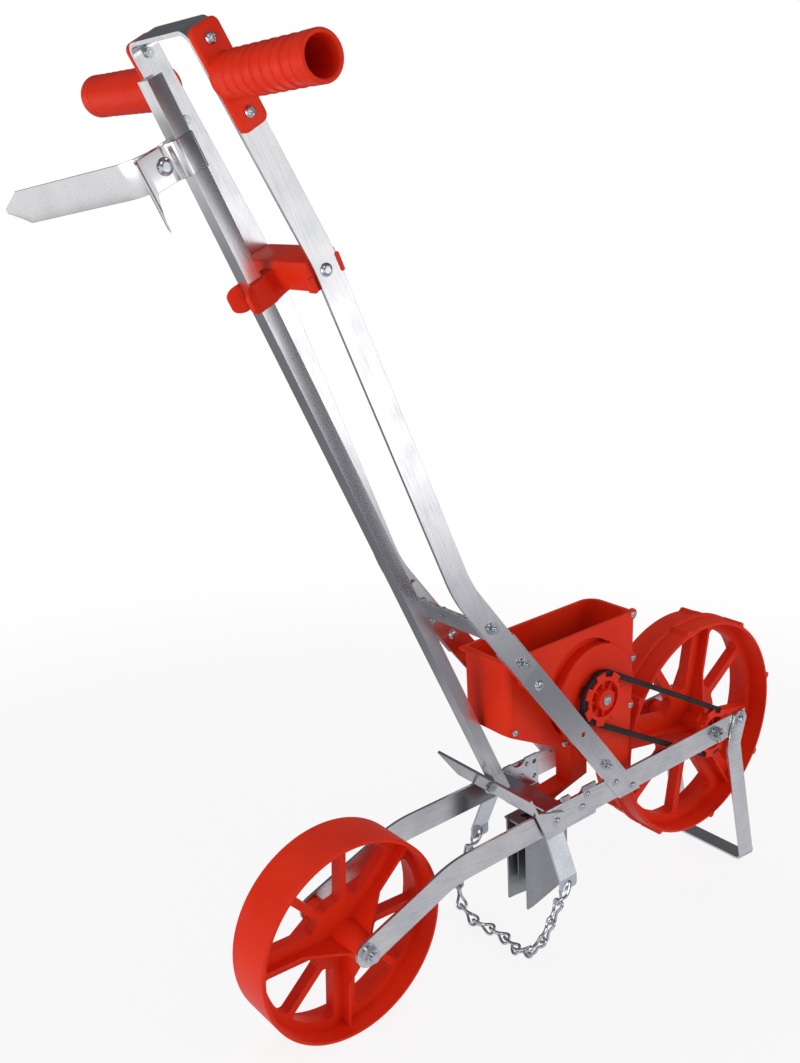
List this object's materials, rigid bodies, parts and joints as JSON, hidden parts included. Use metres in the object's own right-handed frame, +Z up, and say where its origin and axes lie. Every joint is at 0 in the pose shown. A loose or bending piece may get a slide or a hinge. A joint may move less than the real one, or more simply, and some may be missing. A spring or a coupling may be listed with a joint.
{
  "type": "walk-behind seed planter",
  "caption": "Push planter: wheels in a flat-bar frame, belt-driven seed hopper over a furrow opener, drag chain, folding stand and swinging row marker below a bent handle.",
  "frame": {"origin": "on the floor under the middle of the stand's foot", "axes": "+X forward, +Y to the left of the person pushing, +Z up"},
  "size_m": [0.8954, 0.353, 0.923],
  "materials": {
    "red_plastic": "satin moulded",
    "bar_aluminium": "mill finish with light scuffs",
    "zinc_steel": "bright zinc plate",
    "sheet_steel": "dull pressed sheet",
    "spring_steel": "polished",
    "belt_rubber": "matte",
    "plate_plastic": "satin moulded"
  },
  "bodies": {
    "frame": {"brace_bolts": "zinc_steel", "brace_nuts": "zinc_steel", "bracket_rivets": "zinc_steel", "cover_screws": "zinc_steel", "cross_bracket": "zinc_steel", "drive_belt": "belt_rubber", "front_axle": "zinc_steel", "front_axle_nut": "zinc_steel", "furrow_opener": "sheet_steel", "grip_nuts": "zinc_steel", "grip_screws": "zinc_steel", "handle_brace": "bar_aluminium", "handle_loop": "bar_aluminium", "handle_spacer": "red_plastic", "hopper_bin": "red_plastic", "hopper_bolts": "zinc_steel", "hopper_cover": "red_plastic", "left_grip": "red_plastic", "left_lower_bar": "bar_aluminium", "left_rail": "bar_aluminium", "leg_bolts": "zinc_steel", "leg_nuts": "zinc_steel", "lower_bar_bolts": "zinc_steel", "lower_bar_nuts": "zinc_steel", "lower_bar_rivets": "zinc_steel", "marker_clip": "red_plastic", "marker_pivot_bolt": "zinc_steel", "marker_pivot_nut": "zinc_steel", "marker_strip": "bar_aluminium", "opener_bolts": "zinc_steel", "opener_bracket": "zinc_steel", "rear_axle": "zinc_steel", "rear_axle_nut": "zinc_steel", "right_grip": "red_plastic", "right_lower_bar": "bar_aluminium", "right_rail": "bar_aluminium", "seed_chute": "red_plastic", "seed_guide": "sheet_steel", "spacer_bolt": "zinc_steel", "spacer_nut": "zinc_steel", "stand_pins": "zinc_steel"},
    "rear_wheel": {"rear_wheel": "red_plastic"},
    "front_wheel": {"front_wheel": "red_plastic", "wheel_pulley": "red_plastic"},
    "seed_drive": {"seed_plate": "plate_plastic", "seed_shaft": "zinc_steel", "driven_pulley": "red_plastic", "hub_screw": "zinc_steel"},
    "stand": {"stand": "bar_aluminium"},
    "marker": {"marker_bar": "bar_aluminium"},
    "clamp": {"marker_clamp": "spring_steel", "clamp_rivet": "zinc_steel"},
    "chain": {"drag_chain": "zinc_steel"}
  },
  "joints": [
    {"name": "rear_wheel_spin", "type": "hinge", "parent": "frame", "child": "rear_wheel", "pos_m": [-0.61806, 0, 0.1067], "axis": [0, 1, 0], "continuous": true},
    {"name": "front_wheel_spin", "type": "hinge", "parent": "frame", "child": "front_wheel", "pos_m": [-0.09058, 0, 0.19764], "axis": [0, 1, 0], "continuous": true},
    {"name": "seed_drive_spin", "type": "hinge", "parent": "frame", "child": "seed_drive", "pos_m": [-0.29766, -0.035, 0.29106], "axis": [0, 1, 0], "continuous": true},
    {"name": "stand_swing", "type": "hinge", "parent": "frame", "child": "stand", "pos_m": [-0.04926, 0, 0.20639], "axis": [0, -1, 0], "range_deg": [0, 180]},
    {"name": "marker_swing", "type": "hinge", "parent": "frame", "child": "marker", "pos_m": [-0.39999, 0.01, 0.20068], "axis": [0.8648, 0, 0.5021], "range_deg": [-90, 90], "deforming": ["marker_clip"]},
    {"name": "marker_slide", "type": "slide", "parent": "marker", "child": "clamp", "axis": [-0.5021, 0, 0.8648], "range_m": [-0.074, 0.008]},
    {"name": "chain_swing", "type": "hinge", "parent": "frame", "child": "chain", "pos_m": [-0.36534, 0, 0.10269], "axis": [0, 1, 0], "range_deg": [0, 60]}
  ],
  "couplings": [
    {"joint": "seed_drive_spin", "follows": "front_wheel_spin", "ratio": 1}
  ]
}
